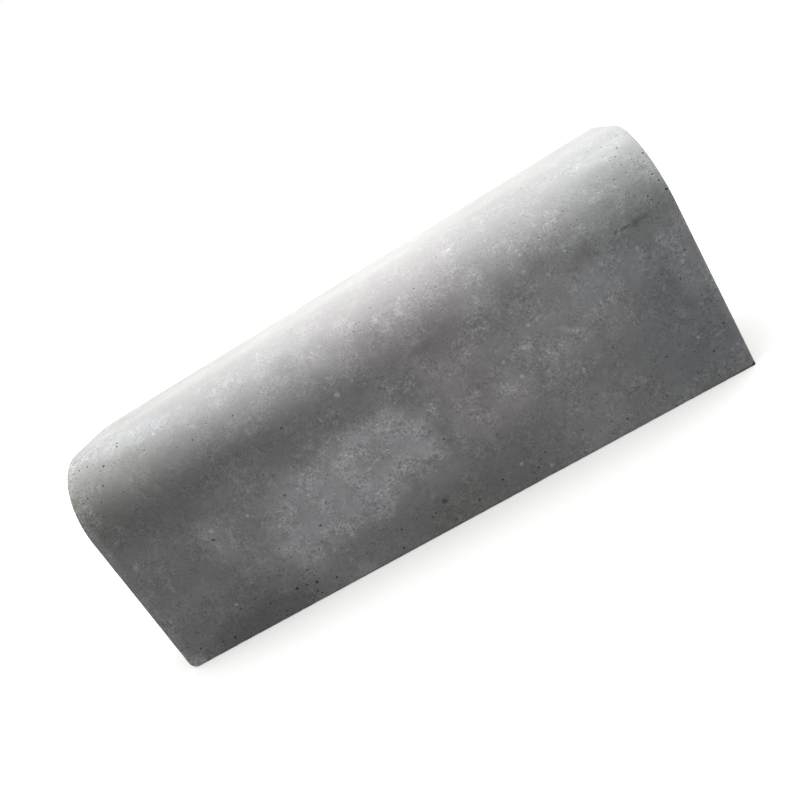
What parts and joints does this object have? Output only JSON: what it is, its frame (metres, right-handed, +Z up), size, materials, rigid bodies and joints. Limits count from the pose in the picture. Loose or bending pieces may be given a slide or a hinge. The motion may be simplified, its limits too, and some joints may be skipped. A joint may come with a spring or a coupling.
{
  "type": "concrete kerb stone",
  "caption": "Straight precast concrete kerb stone with an upright road face, a quarter-round nose, a flat top and square ends.",
  "frame": {"origin": "middle of the base, on the surface the stone stands on", "axes": "+X along the kerb, -Y out of the road face, +Y out of the back, +Z up out of the flat top"},
  "size_m": [0.75, 0.2, 0.29],
  "materials": {
    "cast_concrete": "matte"
  },
  "bodies": {
    "root": {"kerb_stone": "cast_concrete"}
  },
  "joints": []
}
